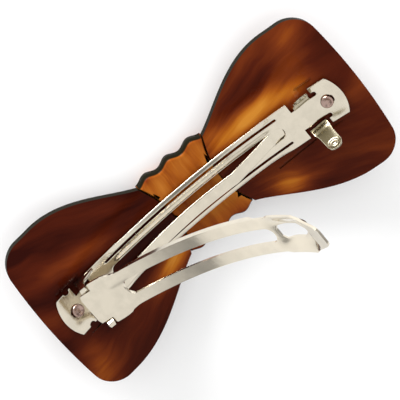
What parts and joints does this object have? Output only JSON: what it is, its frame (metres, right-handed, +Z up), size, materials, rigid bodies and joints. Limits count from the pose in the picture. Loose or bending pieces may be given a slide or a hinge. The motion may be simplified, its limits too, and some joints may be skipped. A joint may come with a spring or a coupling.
{
  "type": "bow barrette",
  "caption": "Bow-shaped acetate hair barrette with a riveted spring clip whose curved clasp arm swings open on a hinge.",
  "frame": {"origin": "under the middle of the bow, on the surface that the knot's front rests on", "axes": "+X along the bow from the clasp's hinge end to its latch end, +Z up out of the bow's back, towards the wearer's head"},
  "size_m": [0.0886, 0.0412, 0.0727],
  "materials": {
    "wing_acetate": "polished dark tortoiseshell cellulose acetate with amber streaks",
    "knot_acetate": "polished amber cellulose acetate",
    "nickel_plate": "bright warm nickel plate on stamped steel",
    "rivet_steel": "dull grey steel rivet head"
  },
  "bodies": {
    "bow": {"hinge_end_wing": "wing_acetate", "latch_end_wing": "wing_acetate", "centre_knot": "knot_acetate", "base_plate": "nickel_plate", "hinge_end_rivet": "rivet_steel", "latch_end_rivet": "rivet_steel"},
    "arm": {"clasp_arm": "nickel_plate"},
    "spring": {"tension_spring": "nickel_plate"},
    "prong_left": {"catch_prong_left": "nickel_plate"},
    "prong_right": {"catch_prong_right": "nickel_plate"}
  },
  "joints": [
    {"name": "clasp_hinge", "type": "hinge", "parent": "bow", "child": "arm", "pos_m": [-0.0325, 0, 0.01972], "axis": [0, -1, 0], "range_deg": [-46, 0], "stiffness_Nm_per_rad": 0.005, "springref_deg": 20.05},
    {"name": "spring_flex", "type": "hinge", "parent": "bow", "child": "spring", "pos_m": [0.0234, 0, 0.01118], "axis": [0, 1, 0], "range_deg": [-5.1, 0]},
    {"name": "prong_squeeze_left", "type": "hinge", "parent": "bow", "child": "prong_left", "pos_m": [0.0304, 0.0032, 0.01213], "axis": [1, 0, 0], "range_deg": [0, 2], "stiffness_Nm_per_rad": 0.05},
    {"name": "prong_squeeze_right", "type": "hinge", "parent": "bow", "child": "prong_right", "pos_m": [0.0304, -0.0032, 0.01213], "axis": [1, 0, 0], "range_deg": [-2, 0], "stiffness_Nm_per_rad": 0.05}
  ],
  "couplings": [
    {"joint": "spring_flex", "follows": "clasp_hinge", "ratio": 0.11}
  ]
}
